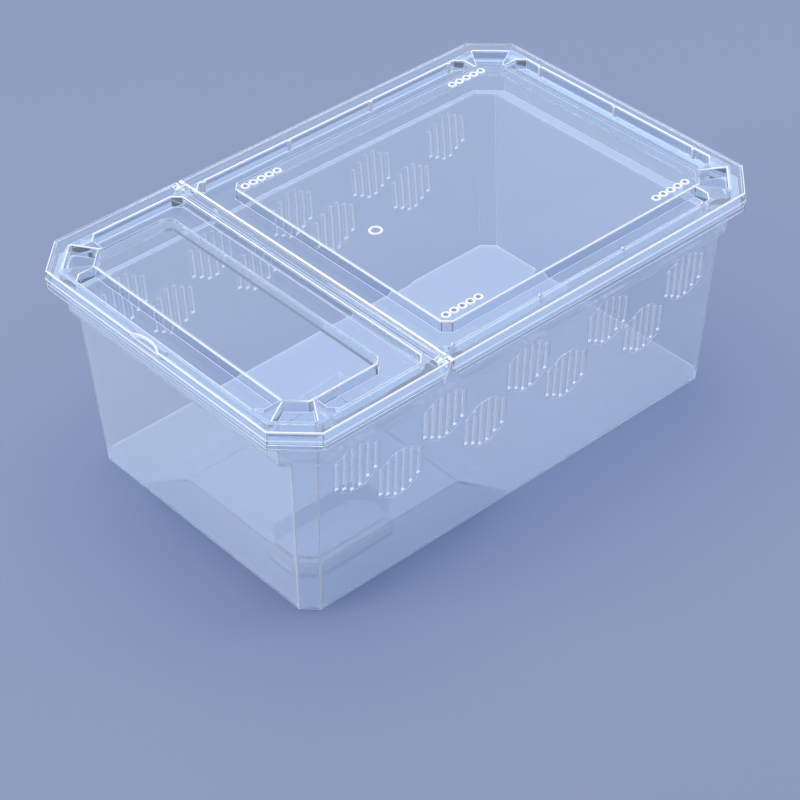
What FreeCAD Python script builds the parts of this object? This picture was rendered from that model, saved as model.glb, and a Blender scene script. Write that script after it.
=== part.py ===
"""Stacking reptile breeding box: a clear tub, a two-part lid and a corner feeding platform.

The frame is in millimetres with +Z up. The origin is the middle of the base on the surface that
the box stands on. +X runs along the box towards the large rear lid, and the small front lid
covers the -X end.
"""
import FreeCAD, Part
import math
import os
import re
import Sketcher

SIZES = {
    # Overall box
    "box_height": 120.0,
    "lid_length": 300.0,
    "lid_width": 197.0,
    "lid_cut": 17.5,
    # Lid sheet, skirt and rim
    "lid_sheet": 1.5,
    "skirt_wall": 1.4,
    "skirt_drop": 9.5,
    "skirt_band": 4.4,
    "skirt_step": 0.5,
    "skirt_flare": 0.4,
    "rim_side": 8.75,
    "rim_end": 6.0,
    "rim_cut": 14.0,
    "groove_depth": 6.0,
    "groove_side": 11.95,
    "groove_end": 12.5,
    "plateau_cut": 8.75,
    # Corner ridges across the groove
    "ridge_wall": 1.6,
    "ridge_ease": 4.0,
    "ridge_side_back": 21.0,
    "ridge_end_back": 21.0,
    "ridge_lean": 8.0,
    "ridge_bite": 0.3,
    # Stiffening ribs on the rim's inner wall
    "rib_radius": 1.1,
    "rib_back": 38.0,
    "rib_pitch": 54.0,
    # Line where the two lids meet
    "hinge_from_front": 88.8,
    "nose_radius": 1.9,
    "lid_gap": 0.5,
    "gap_chamfer": 0.8,
    "wedge_front": 2.8,
    "wedge_rear": 3.3,
    "rear_edge_wall": 1.9,
    "front_edge_rim": 4.8,
    "rear_groove": 13.8,
    "front_groove": 14.0,
    "meeting_cut": 4.0,
    # Thumb recess in the front lid's rim
    "thumb_width": 20.0,
    "thumb_depth": 3.0,
    "thumb_offset": 5.0,
    "thumb_drop": 1.2,
    "thumb_block": 2.7,
    # Hinge
    "pin_radius": 1.1,
    "pin_clearance": 0.08,
    "ear_width": 2.2,
    "ear_clearance": 0.35,
    "ear_mouth": 1.8,
    # Vent holes in the rear lid
    "hole_radius": 1.3,
    "hole_ring": 2.2,
    "hole_ring_rise": 0.4,
    "hole_pitch": 5.0,
    "hole_edge": 5.8,
    "hole_front_back": 5.0,
    "hole_rear_back": 13.0,
    # Moulding mark
    "gate_back": 26.0,
    "gate_radius": 3.4,
    "gate_wall": 0.9,
    "gate_rise": 0.5,
    # Tub
    "base_length": 266.2,
    "base_width": 162.2,
    "base_cut": 7.4,
    "base_round": 1.2,
    "shoulder_height": 94.4,
    "shoulder_length": 272.8,
    "shoulder_width": 175.2,
    "shoulder_cut": 8.6,
    "band_length": 284.0,
    "band_width": 180.4,
    "band_cut": 12.6,
    "band_draft": 1.2,
    "tub_wall": 1.6,
    "floor_thick": 2.0,
    "flange_thick": 1.6,
    "flange_clearance": 0.8,
    "panel_length": 210.0,
    "panel_width": 106.0,
    "panel_cut": 5.0,
    "panel_recess": 0.6,
    # Ventilation slots in the long walls
    "slot_width": 2.3,
    "slot_pitch": 4.6,
    "slot_long": 25.5,
    "slot_mid": 20.0,
    "slot_short": 15.0,
    "patch_pitch": 52.8,
    "patch_upper_z": 78.8,
    "patch_lower_z": 59.5,
    # Corner feeding platform
    "platform_height": 27.0,
    "platform_gap": 0.4,
    "platform_wall": 1.5,
    "platform_top_x": 93.4,
    "platform_top_y": 87.6,
    "ramp_run_x": 34.7,
    "ramp_run_y": 39.5,
    "dish_length": 56.0,
    "dish_width": 29.0,
    "dish_depth": 10.0,
    "dish_cut": 7.0,
    "dish_edge_x": 3.2,
    "dish_edge_y": 5.5,
}
UPPER_PATCHES = 5
LOWER_PATCHES = 4
SIDE_RIBS = 4
END_RIBS = 3
HOLES_IN_ROW = 5

doc = FreeCAD.newDocument("breeding_box")
sheet = doc.addObject("Spreadsheet::Sheet", "sizes")
for row, (alias, size) in enumerate(SIZES.items(), start=1):
    sheet.set(f"A{row}", alias)
    sheet.set(f"B{row}", str(size))
    sheet.setAlias(f"B{row}", alias)
doc.recompute()


def bound(text):
    """Return an expression in which each size's name points at its cell."""
    return re.sub(r"[a-z][a-z_]*[a-z]", lambda m: f"sizes.{m[0]}" if m[0] in SIZES else m[0], text)


def number(text):
    """Return the value that an expression has now."""
    return float(sheet.evalExpression(text))


def new_body(name):
    """Start a sub-part's body."""
    body = doc.addObject("PartDesign::Body", name)
    body.Label = name
    return body


def origin_plane(body, role):
    """Return one of the body's own origin planes."""
    return next(item for item in body.Origin.OriginFeatures if item.Role == role)


def new_sketch(body, name, level, role="XY_Plane"):
    """Add a sketch at a level above one of the body's origin planes."""
    sketch = body.newObject("Sketcher::SketchObject", name)
    sketch.AttachmentSupport = [(origin_plane(body, role), "")]
    sketch.MapMode = "FlatFace"
    sketch.setExpression("AttachmentOffset.Base.z", bound(level))
    return sketch


def place_point(sketch, item, end, across, along):
    """Hold one point of a sketch at a bound distance from the origin."""
    for kind, text in (("DistanceX", across), ("DistanceY", along)):
        held = sketch.addConstraint(Sketcher.Constraint(kind, -1, 1, item, end, number(bound(text))))
        sketch.setExpression(f"Constraints[{held}]", bound(text))


def add_loop(sketch, corners):
    """Draw a closed polygon whose corners are pairs of bound distances."""
    points = [FreeCAD.Vector(number(bound(a)), number(bound(b)), 0) for a, b in corners]
    first = sketch.GeometryCount
    for start, end in zip(points, points[1:] + points[:1]):
        sketch.addGeometry(Part.LineSegment(start, end), False)
    for step, (across, along) in enumerate(corners):
        before = first + (step - 1) % len(corners)
        sketch.addConstraint(Sketcher.Constraint("Coincident", before, 2, first + step, 1))
        place_point(sketch, first + step, 1, across, along)


def add_circle(sketch, across, along, radius):
    """Draw a circle with a bound centre and radius."""
    centre = FreeCAD.Vector(number(bound(across)), number(bound(along)), 0)
    circle = Part.Circle(centre, FreeCAD.Vector(0, 0, 1), number(bound(radius)))
    item = sketch.addGeometry(circle, False)
    place_point(sketch, item, 3, across, along)
    held = sketch.addConstraint(Sketcher.Constraint("Radius", item, number(bound(radius))))
    sketch.setExpression(f"Constraints[{held}]", bound(radius))


def extrude(body, name, sketch, length, kind="Pad", reverse=False, both=False):
    """Pad or pocket a sketch by a bound length."""
    before = body.Shape.Volume if body.Tip else 0.0
    feature = body.newObject(f"PartDesign::{kind}", name)
    feature.Profile = sketch
    feature.setExpression("Length", bound(length))
    feature.Reversed = reverse
    feature.Midplane = both
    doc.recompute()
    grown = body.Shape.Volume > before
    if grown != (kind == "Pad"):
        raise RuntimeError(f"{name} doesn't change the solid")
    return feature


def loft(body, name, low, high, kind="Additive"):
    """Join two outlines by straight flanks."""
    feature = body.newObject(f"PartDesign::{kind}Loft", name)
    feature.Profile = low
    feature.Sections = [high]
    feature.Ruled = True
    doc.recompute()
    return feature


def mirrored(body, name, features, role="XZ_Plane"):
    """Repeat features on the other side of an origin plane."""
    feature = body.newObject("PartDesign::Mirrored", name)
    feature.Originals = features
    feature.MirrorPlane = (origin_plane(body, role), [""])
    body.Tip = feature
    doc.recompute()
    return feature


def octagon(half_x, half_y, cut):
    """Return the corners of a rectangle with its four corners cut off."""
    return [
        (f"-({half_x})", f"-({half_y} - ({cut}))"),
        (f"-({half_x} - ({cut}))", f"-({half_y})"),
        (f"{half_x} - ({cut})", f"-({half_y})"),
        (half_x, f"-({half_y} - ({cut}))"),
        (half_x, f"{half_y} - ({cut})"),
        (f"{half_x} - ({cut})", half_y),
        (f"-({half_x} - ({cut}))", half_y),
        (f"-({half_x})", f"{half_y} - ({cut})"),
    ]


def half_outline(meeting, end, half_y, cut, meeting_cut=""):
    """Return a lid's outline: its far end has cut corners, and its meeting edge may have."""
    toward = "-" if end.startswith("-") else "+"
    back = "+" if toward == "-" else "-"
    corners = [
        (f"{end} {back} ({cut})", f"-({half_y})"),
        (end, f"-({half_y} - ({cut}))"),
        (end, f"{half_y} - ({cut})"),
        (f"{end} {back} ({cut})", half_y),
    ]
    if meeting_cut:
        return corners + [
            (f"{meeting} {toward} ({meeting_cut})", half_y),
            (meeting, f"{half_y} - ({meeting_cut})"),
            (meeting, f"-({half_y} - ({meeting_cut}))"),
            (f"{meeting} {toward} ({meeting_cut})", f"-({half_y})"),
        ]
    return corners + [(meeting, half_y), (meeting, f"-({half_y})")]


def corner_inset(cut, inset):
    """Return a corner cut after its outline moves in by the same amount on every side."""
    return f"({cut}) - {2 - math.sqrt(2):.6f} * ({inset})"


# Levels and lines that the pieces share
LID_TOP = "box_height"
SKIRT_BOTTOM = "box_height - skirt_drop"
SKIRT_LINE = "box_height - skirt_band"
LID_SEAT = "box_height - groove_depth - lid_sheet"
CEILING = "box_height - lid_sheet"
HALF_X = "lid_length / 2"
HALF_Y = "lid_width / 2"
HINGE_X = "hinge_from_front - lid_length / 2"
HINGE_Z = "box_height - nose_radius"
REAR_EDGE = f"({HINGE_X} + nose_radius + lid_gap)"
RIM_X = f"({HALF_X} - rim_end)"
RIM_Y = f"({HALF_Y} - rim_side)"
PLATEAU_X = f"({RIM_X} - groove_end)"
PLATEAU_Y = f"({RIM_Y} - groove_side)"
EAR_Y = f"({RIM_Y} + {HALF_Y} - skirt_wall + lid_sheet) / 2"


def lid_shell(body, prefix, sign, meeting, rim_meeting, plateau_meeting):
    """Build a lid's skirt, rim, groove and plateau up to the line where the lids meet."""
    end = f"{sign}({HALF_X}"
    shapes = {
        "foot": (SKIRT_BOTTOM, "skirt_step + skirt_flare"),
        "waist": (SKIRT_LINE, "skirt_step"),
        "collar": (SKIRT_LINE, "skirt_flare / 2"),
        "crown": (LID_TOP, "0"),
    }
    rings = {}
    for name, (level, out) in shapes.items():
        rings[name] = new_sketch(body, f"{prefix}_{name}", level)
        cut = corner_inset("lid_cut", f"-({out})")
        add_loop(rings[name], half_outline(meeting, f"{end} + {out})", f"({HALF_Y} + {out})", cut))
    loft(body, f"{prefix}_skirt", rings["foot"], rings["waist"])
    loft(body, f"{prefix}_rim", rings["collar"], rings["crown"])

    # Hollow inside the skirt, below the level that the lid rests at
    below = new_sketch(body, f"{prefix}_below", SKIRT_BOTTOM)
    inner_cut = corner_inset("lid_cut", "skirt_wall - skirt_step")
    skirt_y = f"({HALF_Y} + skirt_step - skirt_wall)"
    add_loop(below, half_outline(meeting, f"{end} + skirt_step - skirt_wall)", skirt_y, inner_cut))
    extrude(body, f"{prefix}_mouth", below, "skirt_drop - groove_depth - lid_sheet", "Pocket", True)

    # Channel under the rim, between the skirt and the groove's outer wall
    wall_end = f"{sign}({RIM_X} + lid_sheet)"
    wall_cut = corner_inset("rim_cut", "-lid_sheet")
    channel = new_sketch(body, f"{prefix}_channel", LID_SEAT)
    crown_cut = corner_inset("lid_cut", "skirt_wall")
    outer = half_outline(meeting, f"{end} - skirt_wall)", f"({HALF_Y} - skirt_wall)", crown_cut)
    inner = half_outline(meeting, wall_end, f"({RIM_Y} + lid_sheet)", wall_cut)
    add_loop(channel, outer[:5] + [inner[4]] + inner[3::-1] + [inner[5], outer[5]])
    extrude(body, f"{prefix}_rim_channel", channel, "groove_depth", "Pocket", True)

    # Groove in the top, and the hollow under the plateau
    groove = new_sketch(body, f"{prefix}_groove_ring", LID_TOP)
    rim_end = f"{sign}{RIM_X}"
    add_loop(groove, half_outline(rim_meeting, rim_end, RIM_Y, "rim_cut", "meeting_cut"))
    plateau_end = f"{sign}{PLATEAU_X}"
    add_loop(groove, half_outline(plateau_meeting, plateau_end, PLATEAU_Y, "plateau_cut", "meeting_cut"))
    extrude(body, f"{prefix}_groove", groove, "groove_depth", "Pocket")
    hollow = new_sketch(body, f"{prefix}_hollow_outline", LID_SEAT)
    plate_meeting = f"({plateau_meeting} {sign or '+'} lid_sheet)"
    plate_end = f"{sign}({PLATEAU_X} - lid_sheet)"
    plate_cut = corner_inset("plateau_cut", "lid_sheet")
    near_cut = corner_inset("meeting_cut", "lid_sheet")
    plate_y = f"({PLATEAU_Y} - lid_sheet)"
    add_loop(hollow, half_outline(plate_meeting, plate_end, plate_y, plate_cut, near_cut))
    extrude(body, f"{prefix}_hollow", hollow, "groove_depth", "Pocket", True)

    # Wedge-shaped ridges that shut the corner pockets off from the grooves
    ridge = new_sketch(body, f"{prefix}_ridge_lines", "box_height - groove_depth")
    for side in ("-", ""):
        rim_y = f"{side}({RIM_Y} + ridge_bite)"
        plateau_y = f"{side}({PLATEAU_Y} - ridge_bite)"
        add_loop(ridge, [
            (f"{end} - ridge_side_back)", rim_y),
            (f"{end} - ridge_side_back - ridge_lean - ridge_wall - ridge_ease)", rim_y),
            (f"{end} - ridge_side_back - ridge_lean - ridge_wall)", f"{side}({RIM_Y} - ridge_ease)"),
            (f"{end} - ridge_side_back - ridge_lean - ridge_wall)", plateau_y),
            (f"{end} - ridge_side_back - ridge_lean)", plateau_y),
        ])
        rim_x = f"{sign}({RIM_X} + ridge_bite)"
        plateau_x = f"{sign}({PLATEAU_X} - ridge_bite)"
        add_loop(ridge, [
            (rim_x, f"{side}({HALF_Y} - ridge_end_back)"),
            (plateau_x, f"{side}({HALF_Y} - ridge_end_back - ridge_lean)"),
            (plateau_x, f"{side}({HALF_Y} - ridge_end_back - ridge_lean - ridge_wall)"),
            (
                f"{sign}({RIM_X} - ridge_ease)",
                f"{side}({HALF_Y} - ridge_end_back - ridge_lean - ridge_wall)",
            ),
            (rim_x, f"{side}({HALF_Y} - ridge_end_back - ridge_lean - ridge_wall - ridge_ease)"),
        ])
    extrude(body, f"{prefix}_ridges", ridge, "groove_depth")


def inner_x(level):
    """Return the tub's inner half length at a height on its tapered walls."""
    lean = "(shoulder_length - base_length) / 2 / shoulder_height"
    return f"base_length / 2 + {lean} * ({level}) - tub_wall"


def inner_y(level):
    """Return the tub's inner half width at a height on its tapered walls."""
    lean = "(shoulder_width - base_width) / 2 / shoulder_height"
    return f"base_width / 2 + {lean} * ({level}) - tub_wall"


def build_tub():
    """Build the tub: tapered walls, a wider band, a flange, the floor and the slotted walls."""
    body = new_body("tub")
    base = new_sketch(body, "base_outline", "0")
    add_loop(base, octagon("base_length / 2", "base_width / 2", "base_cut"))
    shoulder = new_sketch(body, "shoulder_outline", "shoulder_height")
    add_loop(shoulder, octagon("shoulder_length / 2", "shoulder_width / 2", "shoulder_cut"))
    loft(body, "walls", base, shoulder)
    edges = enumerate(body.Shape.Edges, start=1)
    bottom = [f"Edge{i}" for i, edge in edges if edge.BoundBox.ZMax < 1e-6]
    edges = body.newObject("PartDesign::Fillet", "base_rounding")
    edges.Base = (doc.getObject("walls"), bottom)
    edges.setExpression("Radius", bound("base_round"))
    doc.recompute()

    band_low = new_sketch(body, "band_low", "shoulder_height")
    add_loop(band_low, octagon("band_length / 2", "band_width / 2", "band_cut"))
    band_high = new_sketch(body, "band_high", LID_SEAT)
    band_top = ("(band_length / 2 + band_draft)", "(band_width / 2 + band_draft)")
    add_loop(band_high, octagon(*band_top, "band_cut"))
    loft(body, "band", band_low, band_high)
    flange = new_sketch(body, "flange_outline", LID_SEAT)
    inset = "(skirt_wall + flange_clearance)"
    halves = (f"({HALF_X} - {inset})", f"({HALF_Y} - {inset})")
    add_loop(flange, octagon(*halves, corner_inset("lid_cut", inset)))
    extrude(body, "flange", flange, "flange_thick", reverse=True)

    inside_low = new_sketch(body, "inside_low", "floor_thick")
    wall_cut = corner_inset("base_cut", "tub_wall")
    add_loop(inside_low, octagon(f"({inner_x('floor_thick')})", f"({inner_y('floor_thick')})", wall_cut))
    inside_high = new_sketch(body, "inside_high", "shoulder_height + tub_wall")
    high_cut = corner_inset("shoulder_cut", "tub_wall")
    top = "shoulder_height + tub_wall"
    add_loop(inside_high, octagon(f"({inner_x(top)})", f"({inner_y(top)})", high_cut))
    loft(body, "inside", inside_low, inside_high, "Subtractive")
    band_in = new_sketch(body, "band_inside_low", top)
    band_cut = corner_inset("band_cut", "tub_wall")
    add_loop(band_in, octagon("(band_length / 2 - tub_wall)", "(band_width / 2 - tub_wall)", band_cut))
    band_out = new_sketch(body, "band_inside_high", LID_SEAT)
    spread = "band_draft - tub_wall"
    band_inner = (f"(band_length / 2 + {spread})", f"(band_width / 2 + {spread})")
    add_loop(band_out, octagon(*band_inner, band_cut))
    loft(body, "band_inside", band_in, band_out, "Subtractive")

    panel = new_sketch(body, "panel_outline", "0")
    add_loop(panel, octagon("panel_length / 2", "panel_width / 2", "panel_cut"))
    extrude(body, "floor_panel", panel, "panel_recess", "Pocket", True)

    rows = (("upper", UPPER_PATCHES, "patch_upper_z"), ("lower", LOWER_PATCHES, "patch_lower_z"))
    heights = ("slot_short", "slot_mid", "slot_long", "slot_long", "slot_mid", "slot_short")
    for label, count, level in rows:
        slots = new_sketch(body, f"{label}_slots", "0", "XZ_Plane")
        centre = f"-({(count - 1) / 2} * patch_pitch)"
        for step, height in enumerate(heights):
            left = f"{centre} + {step - 2.5} * slot_pitch - slot_width / 2"
            low = f"{level} - {height} / 2"
            add_loop(slots, [
                (left, low),
                (f"{left} + slot_width", low),
                (f"{left} + slot_width", f"{low} + {height}"),
                (left, f"{low} + {height}"),
            ])
        patch = extrude(body, f"{label}_patch", slots, "lid_width", "Pocket", both=True)
        row = body.newObject("PartDesign::LinearPattern", f"{label}_row")
        row.Originals = [patch]
        row.Direction = (slots, ["H_Axis"])
        row.Occurrences = count
        row.setExpression("Length", bound(f"{count - 1} * patch_pitch"))
        body.Tip = row
        doc.recompute()
    return body


def build_rear_lid():
    """Build the large lid: vents, ribs and the ears that the front lid's pins turn in."""
    body = new_body("rear_lid")
    edge = f"({REAR_EDGE} + rear_edge_wall)"
    lid_shell(body, "rear", "", REAR_EDGE, edge, f"({edge} + rear_groove)")

    # Wall across the meeting edge, with its top corner eased for the turning nose
    inside_skirt = f"({HALF_Y} - skirt_wall)"
    wall = new_sketch(body, "meeting_wall_outline", LID_SEAT)
    add_loop(wall, [
        (REAR_EDGE, f"-{inside_skirt}"),
        (edge, f"-{inside_skirt}"),
        (edge, inside_skirt),
        (REAR_EDGE, inside_skirt),
    ])
    extrude(body, "meeting_wall", wall, "groove_depth + lid_sheet")
    ease = new_sketch(body, "gap_ease_profile", "0", "XZ_Plane")
    add_loop(ease, [
        (REAR_EDGE, f"{LID_TOP} - gap_chamfer"),
        (f"{REAR_EDGE} + gap_chamfer", LID_TOP),
        (REAR_EDGE, LID_TOP),
    ])
    extrude(body, "gap_ease", ease, "2 * lid_width", "Pocket", both=True)

    # Skirt ends slant back so that the front lid's skirt can swing
    slant = new_sketch(body, "rear_slant_profile", inside_skirt, "XZ_Plane")
    add_loop(slant, [
        (REAR_EDGE, SKIRT_BOTTOM),
        (f"{REAR_EDGE} + wedge_rear", SKIRT_BOTTOM),
        (REAR_EDGE, SKIRT_LINE),
    ])
    slant_cut = extrude(body, "rear_slant", slant, "lid_width", "Pocket", True)
    mirrored(body, "rear_slants", [slant_cut])

    # Ears that reach forward and hook over the pins from above
    ear_side = f"{EAR_Y} - ear_width / 2"
    arm = new_sketch(body, "ear_arm_profile", ear_side, "XZ_Plane")
    add_loop(arm, [
        (HINGE_X, f"{HINGE_Z} - nose_radius"),
        (REAR_EDGE, f"{HINGE_Z} - nose_radius"),
        (REAR_EDGE, f"{HINGE_Z} + nose_radius - gap_chamfer"),
        (f"{REAR_EDGE} + gap_chamfer", f"{HINGE_Z} + nose_radius"),
        (HINGE_X, f"{HINGE_Z} + nose_radius"),
    ])
    arm_pad = extrude(body, "ear_arm", arm, "ear_width")
    eye = new_sketch(body, "ear_eye_profile", ear_side, "XZ_Plane")
    add_circle(eye, HINGE_X, HINGE_Z, "nose_radius")
    eye_pad = extrude(body, "ear_eye", eye, "ear_width")
    bore = new_sketch(body, "ear_bore_profile", ear_side, "XZ_Plane")
    add_circle(bore, HINGE_X, HINGE_Z, "pin_radius + pin_clearance")
    bore_cut = extrude(body, "ear_bore", bore, "ear_width", "Pocket", True)
    mouth = new_sketch(body, "ear_mouth_profile", ear_side, "XZ_Plane")
    add_loop(mouth, [
        (f"{HINGE_X} - ear_mouth / 2", f"{HINGE_Z} - 2 * nose_radius"),
        (f"{HINGE_X} + ear_mouth / 2", f"{HINGE_Z} - 2 * nose_radius"),
        (f"{HINGE_X} + ear_mouth / 2", HINGE_Z),
        (f"{HINGE_X} - ear_mouth / 2", HINGE_Z),
    ])
    mouth_cut = extrude(body, "ear_mouth_slot", mouth, "ear_width", "Pocket", True)
    mirrored(body, "ears", [arm_pad, eye_pad, bore_cut, mouth_cut])

    # Vent holes, each with a raised ring
    front_hole = f"{edge} + rear_groove + hole_front_back"
    rear_hole = f"{PLATEAU_X} - hole_rear_back - {HOLES_IN_ROW - 1} * hole_pitch"
    places = [
        (f"{first} + {step} * hole_pitch", f"{side}({PLATEAU_Y} - hole_edge)")
        for first in (front_hole, rear_hole)
        for side in ("-", "")
        for step in range(HOLES_IN_ROW)
    ]
    rings = new_sketch(body, "vent_ring_circles", LID_TOP)
    holes = new_sketch(body, "vent_hole_circles", f"{LID_TOP} + hole_ring_rise")
    for across, along in places:
        add_circle(rings, across, along, "hole_ring")
        add_circle(holes, across, along, "hole_radius")
    extrude(body, "vent_rings", rings, "hole_ring_rise")
    extrude(body, "vent_holes", holes, "hole_ring_rise + lid_sheet", "Pocket")

    # Moulding mark in the middle
    mark = new_sketch(body, "gate_circles", LID_TOP)
    gate_x = f"{edge} + rear_groove + gate_back"
    add_circle(mark, gate_x, "0", "gate_radius")
    add_circle(mark, gate_x, "0", "gate_radius - gate_wall")
    extrude(body, "gate_mark", mark, "gate_rise")

    # Ribs on the rim's inner wall
    ribs = new_sketch(body, "rib_circles", "box_height - groove_depth")
    for step in range(SIDE_RIBS):
        for side in ("-", ""):
            along = f"{HALF_X} - rib_back - {step} * rib_pitch"
            add_circle(ribs, along, f"{side}{RIM_Y}", "rib_radius")
    for step in range(END_RIBS):
        add_circle(ribs, RIM_X, f"{step - (END_RIBS - 1) / 2} * rib_pitch", "rib_radius")
    extrude(body, "ribs", ribs, "groove_depth")
    return body


def build_front_lid():
    """Build the small feeding lid with its rounded nose and moulded pivot pins."""
    body = new_body("front_lid")
    edge = f"({HINGE_X} - front_edge_rim)"
    lid_shell(body, "front", "-", HINGE_X, edge, f"({edge} - front_groove)")

    # Nose rounded about the hinge line, open over the channels under the rim
    nose = new_sketch(body, "nose_profile", "0", "XZ_Plane")
    add_circle(nose, HINGE_X, HINGE_Z, "nose_radius")
    extrude(body, "nose", nose, "lid_width", both=True)
    channel = new_sketch(body, "nose_channel_profile", f"{RIM_Y} + lid_sheet", "XZ_Plane")
    add_loop(channel, [
        (f"{HINGE_X} - 2 * nose_radius", LID_SEAT),
        (f"{HINGE_X} + 2 * nose_radius", LID_SEAT),
        (f"{HINGE_X} + 2 * nose_radius", CEILING),
        (f"{HINGE_X} - 2 * nose_radius", CEILING),
    ])
    room = f"{HALF_Y} - skirt_wall - {RIM_Y} - lid_sheet"
    channel_cut = extrude(body, "nose_channel", channel, room, "Pocket", True)

    # Notch that the rear lid's ear turns through
    notch = new_sketch(body, "notch_profile", f"{EAR_Y} - ear_width / 2 - ear_clearance", "XZ_Plane")
    add_loop(notch, [
        (f"{HINGE_X} - nose_radius - 2 * ear_clearance", LID_SEAT),
        (f"{HINGE_X} + 2 * nose_radius", LID_SEAT),
        (f"{HINGE_X} + 2 * nose_radius", f"{LID_TOP} + nose_radius"),
        (f"{HINGE_X} - nose_radius - 2 * ear_clearance", f"{LID_TOP} + nose_radius"),
    ])
    notch_cut = extrude(body, "notch", notch, "ear_width + 2 * ear_clearance", "Pocket", True)

    # Pin between the skirt and the groove's outer wall
    pin = new_sketch(body, "pin_profile", f"{RIM_Y} + lid_sheet / 2", "XZ_Plane")
    add_circle(pin, HINGE_X, HINGE_Z, "pin_radius")
    pin_pad = extrude(body, "pin", pin, f"{HALF_Y} - skirt_wall / 2 - {RIM_Y} - lid_sheet / 2")

    # Skirt ends slant away from the rear lid's
    slant = new_sketch(body, "front_slant_profile", f"{HALF_Y} - skirt_wall", "XZ_Plane")
    add_loop(slant, [
        (HINGE_X, SKIRT_BOTTOM),
        (HINGE_X, SKIRT_LINE),
        (f"{HINGE_X} - wedge_front", SKIRT_BOTTOM),
    ])
    slant_cut = extrude(body, "front_slant", slant, "lid_width", "Pocket", True)
    mirrored(body, "hinge_sides", [channel_cut, notch_cut, pin_pad, slant_cut])

    # Thumb recess: a block fills the channel behind it before it is cut
    block = new_sketch(body, "thumb_block_outline", CEILING)
    reach = "(thumb_width / 2 + skirt_wall)"
    add_loop(block, [
        (f"-({HALF_X} - skirt_wall / 2)", f"thumb_offset - {reach}"),
        (f"-({RIM_X} + lid_sheet / 2)", f"thumb_offset - {reach}"),
        (f"-({RIM_X} + lid_sheet / 2)", f"thumb_offset + {reach}"),
        (f"-({HALF_X} - skirt_wall / 2)", f"thumb_offset + {reach}"),
    ])
    extrude(body, "thumb_block_pad", block, "thumb_block", reverse=True)
    scoop = new_sketch(body, "thumb_circle", LID_TOP)
    bend = "((thumb_width ^ 2 / 4 + thumb_depth ^ 2) / (2 * thumb_depth))"
    add_circle(scoop, f"thumb_depth - {HALF_X} - {bend}", "thumb_offset", bend)
    extrude(body, "thumb_recess", scoop, "thumb_drop", "Pocket")
    return body


def platform_outline(level, right, back):
    """Return the platform's outline at a height: the tub's corner, and two straight edges."""
    near_x = f"({inner_x(level)} - platform_gap)"
    near_y = f"({inner_y(level)} - platform_gap)"
    return [
        (f"-{near_x}", f"-({near_y} - base_cut)"),
        (f"-({near_x} - base_cut)", f"-{near_y}"),
        (right, f"-{near_y}"),
        (right, back),
        (f"-{near_x}", back),
    ]


def build_feeding_platform():
    """Build the corner platform: a thin shell with two ramps and a sunk dish."""
    body = new_body("feeding_platform")
    top = "floor_thick + platform_height"
    top_right = f"(platform_top_x - {inner_x(top)} + platform_gap)"
    top_back = f"(platform_top_y - {inner_y(top)} + platform_gap)"
    foot = new_sketch(body, "foot_outline", "floor_thick")
    corners = platform_outline("floor_thick", f"{top_right} + ramp_run_x", f"{top_back} + ramp_run_y")
    add_loop(foot, corners)
    deck = new_sketch(body, "deck_outline", top)
    add_loop(deck, platform_outline(top, top_right, top_back))
    loft(body, "platform", foot, deck)

    # Hollow underneath, one wall thickness inside every face
    slope_x = f"platform_wall * sqrt(platform_height ^ 2 + ramp_run_x ^ 2) / platform_height"
    slope_y = f"platform_wall * sqrt(platform_height ^ 2 + ramp_run_y ^ 2) / platform_height"
    under = new_sketch(body, "under_outline", "floor_thick")
    add_loop(under, inner_platform(corners, slope_x, slope_y))
    share = "(1 - platform_wall / platform_height)"
    low_right = f"{top_right} + ramp_run_x * (1 - {share})"
    low_back = f"{top_back} + ramp_run_y * (1 - {share})"
    ceiling = new_sketch(body, "ceiling_outline", f"{top} - platform_wall")
    high = platform_outline(f"{top} - platform_wall", low_right, low_back)
    add_loop(ceiling, inner_platform(high, slope_x, slope_y))
    loft(body, "hollow", under, ceiling, "Subtractive")

    # Dish sunk in the deck, with walls of its own below it
    dish_x = f"(-({inner_x(top)} - platform_gap) + dish_edge_x)"
    dish_y = f"(-({inner_y(top)} - platform_gap) + dish_edge_y)"
    shell = new_sketch(body, "dish_shell_outline", top)
    add_loop(shell, dish_outline(dish_x, dish_y, "platform_wall"))
    extrude(body, "dish_shell", shell, "dish_depth + platform_wall", reverse=True)
    dish = new_sketch(body, "dish_outline", top)
    add_loop(dish, dish_outline(dish_x, dish_y, "0"))
    extrude(body, "dish", dish, "dish_depth", "Pocket")
    return body


def inner_platform(corners, slope_x, slope_y):
    """Move the platform's outline in by its wall, and by the ramps' slanted thickness."""
    (x1, y1), (x2, y2), (right, _), (_, back), _ = corners
    pull = corner_inset("0", "platform_wall")
    return [
        (f"{x1} + platform_wall", f"{y1} - ({pull})"),
        (f"{x2} - ({pull})", f"{y2} + platform_wall"),
        (f"{right} - {slope_x}", f"{y2} + platform_wall"),
        (f"{right} - {slope_x}", f"{back} - {slope_y}"),
        (f"{x1} + platform_wall", f"{back} - {slope_y}"),
    ]


def dish_outline(left, low, out):
    """Return the dish's outline with cut corners, grown by the same amount on every side."""
    cut = corner_inset("dish_cut", f"-({out})")
    x1 = f"({left} - {out})"
    y1 = f"({low} - {out})"
    x2 = f"({left} + dish_length + {out})"
    y2 = f"({low} + dish_width + {out})"
    return [
        (x1, f"{y1} + {cut}"),
        (f"{x1} + {cut}", y1),
        (f"{x2} - ({cut})", y1),
        (x2, f"{y1} + {cut}"),
        (x2, f"{y2} - ({cut})"),
        (f"{x2} - ({cut})", y2),
        (f"{x1} + {cut}", y2),
        (x1, f"{y2} - ({cut})"),
    ]


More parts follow.
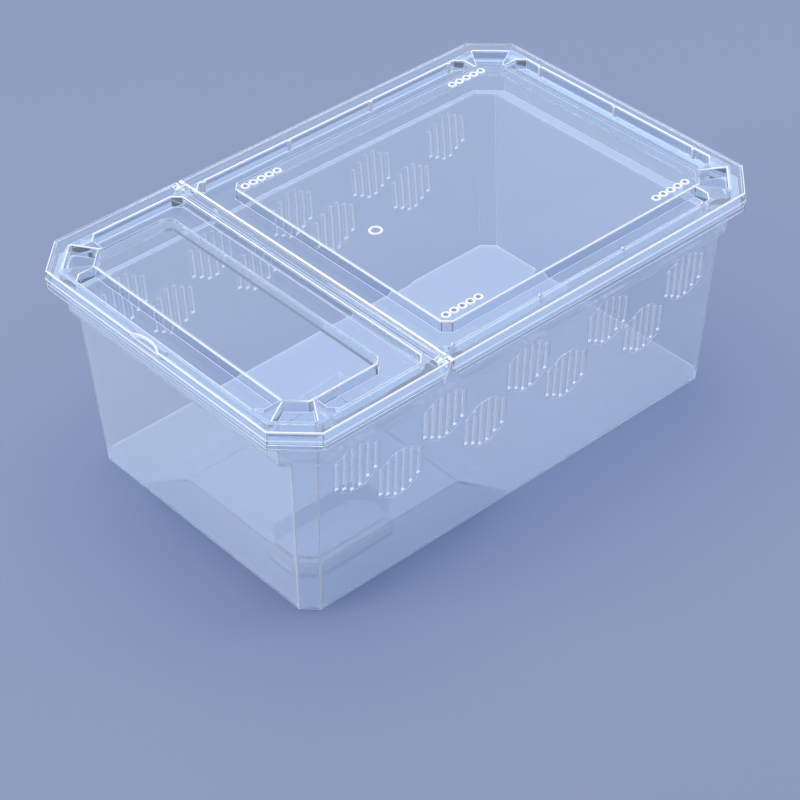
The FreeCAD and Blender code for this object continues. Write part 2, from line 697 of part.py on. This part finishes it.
pieces = [build_tub(), build_rear_lid(), build_front_lid(), build_feeding_platform()]
doc.recompute()
for item in doc.Objects:
    if "Invalid" in item.State or "Error" in item.State:
        raise RuntimeError(f"{item.Name} failed: {item.State}")
os.makedirs("parts", exist_ok=True)
for piece in pieces:
    if piece.Shape.isNull() or not piece.Shape.isValid() or len(piece.Shape.Solids) != 1:
        raise RuntimeError(f"{piece.Label} isn't one valid solid")
    piece.Shape.exportStep(f"parts/{piece.Label}.step")
    box = piece.Shape.BoundBox
    extent = f"{box.XLength:.1f} x {box.YLength:.1f} x {box.ZLength:.1f} mm"
    print(f"{piece.Label}: {piece.Shape.Volume / 1000:.1f} cm3, {extent}")
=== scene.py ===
"""Looks of a clear, stackable breeding box: tub, two-part lid and feeding platform.

Each moulded piece is a rounded copy of its frame node in clear plastic. All
lengths are in metres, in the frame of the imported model.
"""

import logging
import math
from dataclasses import dataclass
from enum import Enum

import bmesh
import bpy
from mathutils import Matrix, Quaternion, Vector

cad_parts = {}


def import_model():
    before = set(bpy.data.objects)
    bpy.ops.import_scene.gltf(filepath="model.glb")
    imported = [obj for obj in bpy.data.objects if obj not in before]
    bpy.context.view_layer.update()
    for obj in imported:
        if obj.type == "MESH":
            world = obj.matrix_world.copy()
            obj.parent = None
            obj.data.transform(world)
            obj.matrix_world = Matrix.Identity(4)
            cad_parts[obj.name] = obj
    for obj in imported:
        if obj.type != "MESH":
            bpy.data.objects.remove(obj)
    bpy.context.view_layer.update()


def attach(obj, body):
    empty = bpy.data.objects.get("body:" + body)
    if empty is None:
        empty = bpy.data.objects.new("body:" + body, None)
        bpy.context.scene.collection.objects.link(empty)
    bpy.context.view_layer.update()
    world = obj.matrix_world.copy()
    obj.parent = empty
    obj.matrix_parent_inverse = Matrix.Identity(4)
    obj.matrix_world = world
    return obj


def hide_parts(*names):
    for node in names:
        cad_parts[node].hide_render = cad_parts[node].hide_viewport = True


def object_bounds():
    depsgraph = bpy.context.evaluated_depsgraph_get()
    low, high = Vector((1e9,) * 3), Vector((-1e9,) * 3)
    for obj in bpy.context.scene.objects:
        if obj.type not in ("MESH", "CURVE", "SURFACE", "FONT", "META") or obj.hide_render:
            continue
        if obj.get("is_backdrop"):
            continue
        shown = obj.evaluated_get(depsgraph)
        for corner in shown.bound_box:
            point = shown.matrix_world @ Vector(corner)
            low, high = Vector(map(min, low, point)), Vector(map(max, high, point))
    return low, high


LOG = logging.getLogger("breeding_box")
MM = 0.001
PLANE = "plane_number"
BEVEL_WEIGHT = "bevel_weight_edge"


class Slot(Enum):
    """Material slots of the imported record."""

    TUB = "tub_plastic"
    LID = "lid_plastic"
    PLATFORM = "platform_plastic"


class Surface(Enum):
    """Places of a moulded piece's plastic and of its painted edge highlight, a whiter copy of the
    plastic, among its materials.
    """

    FLAT = 0
    EDGE = 1


def add_object(name: str, shape: bmesh.types.BMesh) -> bpy.types.Object:
    """Turn a shape into an object of the scene.

    Args:
        name: Name of the object and of its mesh.
        shape: Shape to take over, which is freed.

    Returns:
        The new object, at the origin.
    """
    mesh = bpy.data.meshes.new(name)
    shape.to_mesh(mesh)
    shape.free()
    made = bpy.data.objects.new(name, mesh)
    bpy.context.scene.collection.objects.link(made)
    return made


def add_math(
    tree: bpy.types.NodeTree,
    operation: str,
    first: bpy.types.NodeSocket,
    second: bpy.types.NodeSocket | float,
) -> bpy.types.NodeSocket:
    """Add a Math node to a tree.

    Args:
        tree: Tree that gets the node.
        operation: What the node does.
        first: Socket that feeds its first input.
        second: Socket that feeds its second input, or that input's value.

    Returns:
        The node's output.
    """
    node = tree.nodes.new("ShaderNodeMath")
    node.operation = operation
    tree.links.new(first, node.inputs[0])
    if isinstance(second, float):
        node.inputs[1].default_value = second
    else:
        tree.links.new(second, node.inputs[1])
    return node.outputs[0]


class NodeGroups:
    """Shader node groups that the plastics share, each built once."""

    CLOUD_DETAIL = 3.0
    CLOUD_DISTORTION = 0.6
    THINNEST_CLOUD = 0.42
    THICKEST_CLOUD = 0.72

    @staticmethod
    def _new(name: str, inputs: tuple[str, ...], outputs: tuple[str, ...]) -> bpy.types.NodeTree:
        """Start a group with float inputs and outputs.

        Args:
            name: Name of the group.
            inputs: Names of the inputs, which each material sets.
            outputs: Names of the outputs.

        Returns:
            The group, with its input and output nodes in place.
        """
        group = bpy.data.node_groups.new(name, "ShaderNodeTree")
        for label in inputs:
            group.interface.new_socket(label, in_out="INPUT", socket_type="NodeSocketFloat")
        for label in outputs:
            group.interface.new_socket(label, in_out="OUTPUT", socket_type="NodeSocketFloat")
        group.nodes.new("NodeGroupInput").name = "in"
        group.nodes.new("NodeGroupOutput").name = "out"
        return group

    @classmethod
    def flow_haze(cls) -> bpy.types.NodeTree:
        """Cloudy roughness and ripples, as resin leaves where it flowed into the mould.

        Returns:
            Group with outputs Roughness and Height.
        """
        name = "flow_haze"
        if name in bpy.data.node_groups:
            return bpy.data.node_groups[name]
        group = cls._new(name, ("Scale", "Smooth", "Cloudy", "Ripple"), ("Roughness", "Height"))
        nodes, links = group.nodes, group.links
        given, result = nodes["in"].outputs, nodes["out"].inputs
        place = nodes.new("ShaderNodeTexCoord")
        clouds = nodes.new("ShaderNodeTexNoise")
        clouds.inputs["Detail"].default_value = cls.CLOUD_DETAIL
        clouds.inputs["Distortion"].default_value = cls.CLOUD_DISTORTION
        links.new(place.outputs["Object"], clouds.inputs["Vector"])
        links.new(given["Scale"], clouds.inputs["Scale"])
        spread = nodes.new("ShaderNodeMapRange")
        spread.inputs["From Min"].default_value = cls.THINNEST_CLOUD
        spread.inputs["From Max"].default_value = cls.THICKEST_CLOUD
        links.new(clouds.outputs["Fac"], spread.inputs["Value"])
        links.new(given["Smooth"], spread.inputs["To Min"])
        links.new(given["Cloudy"], spread.inputs["To Max"])
        links.new(spread.outputs["Result"], result["Roughness"])
        links.new(add_math(group, "MULTIPLY", clouds.outputs["Fac"], given["Ripple"]), result["Height"])
        return group


@dataclass(frozen=True)
class ClearPlastic:
    """A clear moulded plastic with a light haze."""

    name: str
    tint: tuple[float, float, float]
    clear: float
    smooth: float = 0.01
    cloudy: float = 0.06
    cloud_scale: float = 14.0
    ripple: float = 0.25
    bump_strength: float = 0.35
    bump_distance: float = 0.25 * MM
    ior: float = 1.47
    lamp_tint: tuple[float, float, float] = (0.86, 0.89, 0.95)
    deepest: float = 8.5

    def _add_haze(self, tree: bpy.types.NodeTree, plastic: bpy.types.Node) -> None:
        """Feed the plastic's roughness and bump from the shared haze.

        Args:
            tree: The material's node tree.
            plastic: The plastic's shader.
        """
        haze = tree.nodes.new("ShaderNodeGroup")
        haze.node_tree = NodeGroups.flow_haze()
        haze.inputs["Scale"].default_value = self.cloud_scale
        haze.inputs["Smooth"].default_value = self.smooth
        haze.inputs["Cloudy"].default_value = self.cloudy
        haze.inputs["Ripple"].default_value = self.ripple
        tree.links.new(haze.outputs["Roughness"], plastic.inputs["Roughness"])
        bump = tree.nodes.new("ShaderNodeBump")
        bump.inputs["Strength"].default_value = self.bump_strength
        bump.inputs["Distance"].default_value = self.bump_distance
        tree.links.new(haze.outputs["Height"], bump.inputs["Height"])
        tree.links.new(bump.outputs["Normal"], plastic.inputs["Normal"])

    def _add_passing(self, tree: bpy.types.NodeTree) -> bpy.types.NodeSocket:
        """Pick out the rays that go straight through the plastic.

        Args:
            tree: The material's node tree.

        Returns:
            A socket that is 1 for shadow rays, diffuse rays and rays through many layers.
        """
        path = tree.nodes.new("ShaderNodeLightPath").outputs
        lit = add_math(tree, "MAXIMUM", path["Is Shadow Ray"], path["Is Diffuse Ray"])
        deep = add_math(tree, "GREATER_THAN", path["Ray Depth"], self.deepest)
        return add_math(tree, "MAXIMUM", lit, deep)

    def material(self) -> bpy.types.Material:
        """Build the material, or return it if it exists.

        Returns:
            The plastic, which lets lamps through to what is behind it.
        """
        if self.name in bpy.data.materials:
            return bpy.data.materials[self.name]
        made = bpy.data.materials.new(self.name)
        made.use_nodes = True
        tree = made.node_tree
        plastic = tree.nodes["Principled BSDF"]
        plastic.inputs["Base Color"].default_value = (*self.tint, 1.0)
        plastic.inputs["IOR"].default_value = self.ior
        plastic.inputs["Transmission Weight"].default_value = self.clear
        self._add_haze(tree, plastic)
        clear = tree.nodes.new("ShaderNodeBsdfTransparent")
        clear.inputs["Color"].default_value = (*self.lamp_tint, 1.0)
        mix = tree.nodes.new("ShaderNodeMixShader")
        tree.links.new(self._add_passing(tree), mix.inputs["Fac"])
        tree.links.new(plastic.outputs["BSDF"], mix.inputs[1])
        tree.links.new(clear.outputs["BSDF"], mix.inputs[2])
        tree.links.new(mix.outputs["Shader"], tree.nodes["Material Output"].inputs["Surface"])
        return made


@dataclass
class MouldedPiece:
    """A piece of the box: a copy of its frame node with rounded edges, whose rounds and narrow faces get
    a whiter copy of the plastic as a painted highlight.
    """

    node: str
    body: str
    slot: Slot
    finish: ClearPlastic
    painted_edge_highlight: ClearPlastic
    edge_round: float = 0.18 * MM
    main_round: float = 0.55 * MM
    post_round: float = 0.4 * MM
    ledge_round: float = 0.12 * MM
    post_height: float = 50.0 * MM
    ledge_level: float = 115.6 * MM
    top_level: float = 120.0 * MM
    skip_below: float = -1.0
    round_segments: int = 2
    merge_gap: float = 0.002 * MM
    tidy_gap: float = 0.05 * MM
    flat_angle: float = math.radians(0.6)
    sharp_angle: float = math.radians(24.0)
    crease_angle: float = math.radians(50.0)
    narrow: float = 1.7 * MM
    longest_narrow: float = 1.0
    least_fold: float = 1e-12
    face_weight: int = 100
    refill: bool = True

    def shape(self) -> bmesh.types.BMesh:
        """Copy the node's mesh and join its loose triangles into plain faces.

        Returns:
            The cleaned shape.
        """
        shape = bmesh.new()
        shape.from_mesh(bpy.data.objects[self.node].data)
        bmesh.ops.remove_doubles(shape, verts=shape.verts, dist=self.merge_gap)
        bmesh.ops.dissolve_limit(
            shape, angle_limit=self.flat_angle, verts=shape.verts, edges=shape.edges, delimit={"NORMAL"}
        )
        bmesh.ops.remove_doubles(shape, verts=shape.verts, dist=self.tidy_gap)
        bmesh.ops.dissolve_degenerate(shape, dist=self.tidy_gap, edges=shape.edges)
        return shape

    def number_planes(self, shape: bmesh.types.BMesh) -> list[Vector]:
        """Number the flat faces that lie in one plane and touch.

        Args:
            shape: Shape whose faces get the number of their plane.

        Returns:
            The direction that each numbered plane faces.
        """
        layer = shape.faces.layers.int.new(PLANE)
        facings = []
        for seed in shape.faces:
            if not seed[layer]:
                patch = self.flat_patch(seed, layer, len(facings) + 1)
                widest = max(patch, key=lambda face: face.calc_area())
                facings.append(widest.normal.copy())
        return facings

    def flat_patch(
        self, seed: bmesh.types.BMFace, layer: bmesh.types.BMLayerItem, number: int
    ) -> list[bmesh.types.BMFace]:
        """Give a number to a face and to all that continue it in its plane.

        Args:
            seed: Face to start from.
            layer: Layer that holds the number.
            number: Number to give.

        Returns:
            The numbered faces.
        """
        seed[layer] = number
        patch = [seed]
        for face in patch:
            for edge in face.edges:
                if len(edge.link_faces) != 2 or edge.calc_face_angle(math.pi) > self.flat_angle:
                    continue
                for other in edge.link_faces:
                    if not other[layer]:
                        other[layer] = number
                        patch.append(other)
        return patch

    def narrow_planes(self, shape: bmesh.types.BMesh) -> set[int]:
        """Find the narrow flat patches, such as the cut faces of a wall's slots.

        Args:
            shape: Shape whose faces carry their plane's number.

        Returns:
            The numbers of the narrow patches.
        """
        layer = shape.faces.layers.int[PLANE]
        areas: dict[int, float] = {}
        borders: dict[int, float] = {}
        for face in shape.faces:
            number = face[layer]
            areas[number] = areas.get(number, 0.0) + face.calc_area()
            for edge in face.edges:
                if any(other[layer] != number for other in edge.link_faces):
                    borders[number] = borders.get(number, 0.0) + edge.calc_length()
        return {
            number
            for number, border in borders.items()
            if 2.0 * areas[number] < self.narrow * border and border < 2.0 * self.longest_narrow
        }

    def round_width(self, edge: bmesh.types.BMEdge) -> float:
        """Return how wide a sharp edge is rounded: the main ones fully, the others less.

        Args:
            edge: Edge of the shape before it is rounded.

        Returns:
            The width, which is 0 where the piece keeps its own rounds.
        """
        low, high = sorted(vert.co.z for vert in edge.verts)
        if high < self.skip_below:
            return 0.0
        if edge.is_convex and max(abs(low - self.top_level), abs(high - self.top_level)) < self.tidy_gap:
            return self.main_round
        if high - low < self.tidy_gap and abs(low - self.ledge_level) < self.tidy_gap:
            return self.ledge_round
        if edge.is_convex and high - low > self.post_height:
            return self.post_round
        return self.edge_round

    def weigh_edges(self, shape: bmesh.types.BMesh) -> None:
        """Mark each sharp edge with its share of the widest round.

        Args:
            shape: Shape whose edges get their weights.
        """
        weights = shape.edges.layers.float.new(BEVEL_WEIGHT)
        for edge in shape.edges:
            if len(edge.link_faces) == 2 and edge.calc_face_angle(0.0) >= self.sharp_angle:
                edge[weights] = self.round_width(edge) / self.main_round

    def rounded(self, shape: bmesh.types.BMesh) -> bmesh.types.BMesh:
        """Round the weighted edges.

        Args:
            shape: Shape to round, which is freed.

        Returns:
            A new shape whose rounds have the painted edge highlight material.
        """
        held = add_object("rough", shape)
        rough = held.data
        for _ in Surface:
            rough.materials.append(None)
        bevel = held.modifiers.new("rounds", "BEVEL")
        bevel.affect = "EDGES"
        bevel.limit_method = "WEIGHT"
        bevel.width = self.main_round
        bevel.segments = self.round_segments
        bevel.profile = 0.5
        bevel.use_clamp_overlap = False
        bevel.loop_slide = False
        # the rounds get the whiter material that paints a highlight along each edge
        bevel.material = Surface.EDGE.value
        seen = held.evaluated_get(bpy.context.evaluated_depsgraph_get())
        fresh = bmesh.new()
        fresh.from_mesh(seen.data)
        bpy.data.objects.remove(held)
        bpy.data.meshes.remove(rough)
        return fresh

    def folded_planes(self, shape: bmesh.types.BMesh, facings: list[Vector]) -> list[int]:
        """Find the flat patches in which rounding turned a triangle over.

        Args:
            shape: Rounded shape whose flat faces carry their plane's number.
            facings: Direction that each plane faces.

        Returns:
            The numbers of those patches.
        """
        layer = shape.faces.layers.int[PLANE]
        shape.normal_update()
        folded = set()
        for corners in shape.calc_loop_triangles():
            face = corners[0].face
            if face.material_index != Surface.FLAT.value:
                continue
            first, second, third = (loop.vert.co for loop in corners)
            across = (second - first).cross(third - first)
            if across.dot(facings[face[layer] - 1]) < 0.0 and across.length > self.least_fold:
                folded.add(face[layer])
        return sorted(folded)

    @staticmethod
    def open_patch(
        shape: bmesh.types.BMesh, patch: list[bmesh.types.BMFace]
    ) -> list[bmesh.types.BMEdge]:
        """Take a patch's faces and inner edges out of a shape.

        Args:
            shape: Shape that loses the patch.
            patch: Faces of the patch.

        Returns:
            The edges of the hole that is left.
        """
        inside = set(patch)
        edges = dict.fromkeys(edge for face in patch for edge in face.edges)
        border = [edge for edge in edges if sum(face in inside for face in edge.link_faces) == 1]
        within = [edge for edge in edges if all(face in inside for face in edge.link_faces)]
        bmesh.ops.delete(shape, geom=patch, context="FACES_ONLY")
        bmesh.ops.delete(shape, geom=[edge for edge in within if edge.is_valid], context="EDGES")
        return [edge for edge in border if edge.is_valid]

    def refill_folds(self, shape: bmesh.types.BMesh, facings: list[Vector]) -> None:
        """Fill each folded flat patch anew from its border, so that no triangle folds over.

        Args:
            shape: Rounded shape whose flat faces carry their plane's number.
            facings: Direction that each plane faces.
        """
        layer = shape.faces.layers.int[PLANE]
        patches: dict[int, list[bmesh.types.BMFace]] = {}
        for face in shape.faces:
            if face.material_index == Surface.FLAT.value:
                patches.setdefault(face[layer], []).append(face)
        for number in self.folded_planes(shape, facings):
            facing = facings[number - 1]
            border = self.open_patch(shape, patches[number])
            filled = bmesh.ops.triangle_fill(shape, edges=border, use_beauty=True, normal=facing)
            for face in filled["geom"]:
                if isinstance(face, bmesh.types.BMFace):
                    face[layer] = number
                    face.material_index = Surface.FLAT.value
                    face.normal_update()
                    if face.normal.dot(facing) < 0.0:
                        face.normal_flip()

    def build(self) -> bpy.types.Object:
        """Make the piece, dress it and seat it on its body.

        Returns:
            The new piece, which stands for its frame node.
        """
        shape = self.shape()
        facings = self.number_planes(shape)
        narrow = self.narrow_planes(shape)
        self.weigh_edges(shape)
        shape = self.rounded(shape)
        if self.refill:
            self.refill_folds(shape, facings)
        layer = shape.faces.layers.int[PLANE]
        for face in shape.faces:
            face.smooth = True
            # narrow faces, such as the cut faces of slots, also get the painted edge highlight
            if face[layer] in narrow:
                face.material_index = Surface.EDGE.value
        for edge in shape.edges:
            edge.smooth = len(edge.link_faces) != 2 or edge.calc_face_angle(0.0) < self.crease_angle
        piece = add_object(f"{self.node}_shell", shape)
        piece.data.materials.append(self.finish.material())
        piece.data.materials.append(self.painted_edge_highlight.material())
        level = piece.modifiers.new("even_faces", "WEIGHTED_NORMAL")
        level.mode = "FACE_AREA"
        level.weight = self.face_weight
        level.keep_sharp = True
        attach(piece, self.body)
        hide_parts(self.node)
        return piece


@dataclass
class SlotFrames:
    """Low beads round the groups of ventilation slots in the tub's long walls."""

    # a whiter copy of the tub's plastic, which paints a highlight along the beads
    finish: ClearPlastic
    body: str = "tub"
    half_length: float = 13.5 * MM
    half_flat: float = 3.8 * MM
    side_half_height: float = 8.0 * MM
    half_height: float = 13.6 * MM
    group_pitch: float = 52.8 * MM
    rows: tuple[tuple[int, float], ...] = ((5, 78.8 * MM), (4, 59.5 * MM))
    wall_foot: float = 81.1 * MM
    wall_lean: float = 0.06886
    bead_width: float = 0.6 * MM
    rise: float = 0.25 * MM
    sunk: float = 0.1 * MM
    edge_round: float = 0.1 * MM
    round_segments: int = 2
    square_angle: float = math.radians(60.0)

    def outline(self) -> tuple[tuple[float, float], ...]:
        """Return a bead's eight corners, along and up the wall from its middle."""
        long, flat = self.half_length, self.half_flat
        side, high = self.side_half_height, self.half_height
        return (
            (-long, -side), (-flat, -high), (flat, -high), (long, -side),
            (long, side), (flat, high), (-flat, high), (-long, side),
        )

    def add_bead(self, shape: bmesh.types.BMesh, middle: float, level: float, side: int) -> None:
        """Add one closed bead to the wall.

        Args:
            shape: Shape to add to.
            middle: Place of the bead's middle along the box.
            level: Height of the bead's middle.
            side: 1 or -1, for the wall that it is on.
        """
        out = Vector((0.0, side, -self.wall_lean)).normalized()
        corners = []
        for along, up in self.outline():
            height = level + up
            across = side * (self.wall_foot + self.wall_lean * height)
            corners.append(shape.verts.new(Vector((middle + along, across, height)) - self.sunk * out))
        panel = shape.faces.new(corners)
        inset = bmesh.ops.inset_region(
            shape, faces=[panel], thickness=self.bead_width, use_boundary=True, use_even_offset=True
        )
        bmesh.ops.delete(shape, geom=[panel], context="FACES_ONLY")
        grown = bmesh.ops.extrude_face_region(shape, geom=inset["faces"], use_keep_orig=True)
        lifted = [item for item in grown["geom"] if isinstance(item, bmesh.types.BMVert)]
        bmesh.ops.translate(shape, verts=lifted, vec=(self.rise + self.sunk) * out)

    def build(self) -> bpy.types.Object:
        """Make all the beads as one piece that rides with the tub.

        Returns:
            The new piece.
        """
        shape = bmesh.new()
        for count, level in self.rows:
            for step in range(count):
                for side in (-1, 1):
                    self.add_bead(shape, (step - (count - 1) / 2) * self.group_pitch, level, side)
        bmesh.ops.recalc_face_normals(shape, faces=shape.faces)
        square = [edge for edge in shape.edges if edge.calc_face_angle(0.0) > self.square_angle]
        bmesh.ops.bevel(
            shape,
            geom=square,
            offset=self.edge_round,
            offset_type="OFFSET",
            affect="EDGES",
            segments=self.round_segments,
            profile=0.5,
            clamp_overlap=False,
            material=-1,
        )
        for face in shape.faces:
            face.smooth = True
        piece = add_object("slot_frames", shape)
        piece.data.materials.append(self.finish.material())
        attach(piece, self.body)
        return piece


@dataclass(frozen=True)
class Lamp:
    """A square soft lamp that is aimed at the box."""

    name: str
    place: tuple[float, float, float]
    side: float
    power: float
    aim: tuple[float, float, float] = (0.0, 0.0, 0.05)

    def build(self) -> None:
        """Hang the lamp and turn it to its aim."""
        light = bpy.data.lights.new(self.name, "AREA")
        light.shape = "SQUARE"
        light.size = self.side
        light.energy = self.power
        held = bpy.data.objects.new(self.name, light)
        held.location = self.place
        towards = Vector(self.aim) - Vector(self.place)
        held.rotation_euler = towards.to_track_quat("-Z", "Y").to_euler()
        bpy.context.scene.collection.objects.link(held)


@dataclass
class Studio:
    """Pale floor, soft lamps and the camera."""

    floor_colour: tuple[float, float, float] = (0.224, 0.268, 0.39)
    floor_roughness: float = 0.85
    floor_gloss: float = 0.2
    floor_side: float = 8.0
    floor_drop: float = 0.15 * MM
    sky_colour: tuple[float, float, float] = (0.78, 0.84, 1.0)
    sky_strength: float = 0.6
    lamps: tuple[Lamp, ...] = (
        Lamp("top_softbox", (0.1, 0.2, 1.5), side=1.2, power=14.0),
        Lamp("left_softbox", (-1.3, 0.6, 0.9), side=0.9, power=9.0),
        Lamp("right_softbox", (1.2, -0.4, 0.8), side=0.9, power=5.0),
    )
    eye: tuple[float, float, float] = (-0.6155, -0.7102, 0.7591)
    turn: tuple[float, float, float] = (2.11787807, -0.81893975, 0.36551151)
    focal_pixels: float = 2382.437
    picture_side: float = 800.0
    sensor: float = 36.0
    nearest: float = 0.05
    furthest: float = 20.0

    def floor(self) -> None:
        """Lay the floor just under the box, so that their faces don't meet."""
        shape = bmesh.new()
        bmesh.ops.create_grid(shape, x_segments=1, y_segments=1, size=self.floor_side / 2)
        bmesh.ops.translate(shape, verts=shape.verts, vec=(0.0, 0.0, -self.floor_drop))
        floor = add_object("floor", shape)
        paper = bpy.data.materials.new("floor_paper")
        paper.use_nodes = True
        surface = paper.node_tree.nodes["Principled BSDF"]
        surface.inputs["Base Color"].default_value = (*self.floor_colour, 1.0)
        surface.inputs["Roughness"].default_value = self.floor_roughness
        surface.inputs["Specular IOR Level"].default_value = self.floor_gloss
        floor.data.materials.append(paper)
        floor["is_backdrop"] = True

    def sky(self) -> None:
        """Light the scene evenly from all sides."""
        world = bpy.data.worlds.new("studio")
        world.use_nodes = True
        light = world.node_tree.nodes["Background"]
        light.inputs["Color"].default_value = (*self.sky_colour, 1.0)
        light.inputs["Strength"].default_value = self.sky_strength
        bpy.context.scene.world = world

    def camera(self) -> None:
        """Place the camera at the photograph's angle."""
        lens = bpy.data.cameras.new("camera")
        lens.sensor_width = self.sensor
        lens.lens = self.focal_pixels * self.sensor / self.picture_side
        lens.clip_start = self.nearest
        lens.clip_end = self.furthest
        eye = bpy.data.objects.new("camera", lens)
        turn = Vector(self.turn)
        rows = Quaternion(turn.normalized(), turn.length).to_matrix()
        look = Matrix((rows[0], -rows[1], -rows[2])).transposed()
        eye.matrix_world = Matrix.Translation(self.eye) @ look.to_4x4()
        bpy.context.scene.collection.objects.link(eye)
        bpy.context.scene.camera = eye

    def build(self) -> None:
        """Set up the whole studio."""
        self.floor()
        self.sky()
        for lamp in self.lamps:
            lamp.build()
        self.camera()
        bpy.context.scene.view_settings.view_transform = "Standard"


def corners() -> list[list[float]]:
    """Return the lowest and highest corner of what is shown."""
    return [list(corner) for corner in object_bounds()]


def main() -> None:
    """Build the studio and the box."""
    logging.basicConfig(level=logging.INFO, format="%(name)s: %(message)s")
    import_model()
    Studio().build()
    tub_finish = ClearPlastic("clear_tub", (0.9, 0.955, 1.0), clear=0.72)
    lid_finish = ClearPlastic("clear_lid", (0.86, 0.93, 1.0), clear=0.93)
    platform_finish = ClearPlastic("clear_platform", (0.92, 0.96, 1.0), clear=0.86)
    # a whiter, nearly opaque copy of the plastic: painted highlight on the rounded edges and narrow
    # faces
    edges = ClearPlastic("painted_highlight_edge", (0.95, 0.98, 1.0), clear=0.1, smooth=0.1, cloudy=0.2)
    # the beads get a whiter copy of the tub's plastic, a painted highlight along them
    beads = ClearPlastic("painted_highlight_bead", (0.93, 0.97, 1.0), clear=0.35, smooth=0.05, cloudy=0.15)
    parts = (
        MouldedPiece("tub", "tub", Slot.TUB, tub_finish, edges, skip_below=1.3 * MM),
        MouldedPiece("rear_lid", "rear_lid", Slot.LID, lid_finish, edges, longest_narrow=30 * MM),
        MouldedPiece("front_lid", "front_lid", Slot.LID, lid_finish, edges, longest_narrow=30 * MM),
        MouldedPiece(
            "feeding_platform",
            "tub",
            Slot.PLATFORM,
            platform_finish,
            edges,
            edge_round=0.1 * MM,
            refill=False,
        ),
        SlotFrames(beads),
    )
    for part in parts:
        piece = part.build()
        LOG.info("%s: %d faces", piece.name, len(piece.data.polygons))


if __name__ == "__main__":
    main()
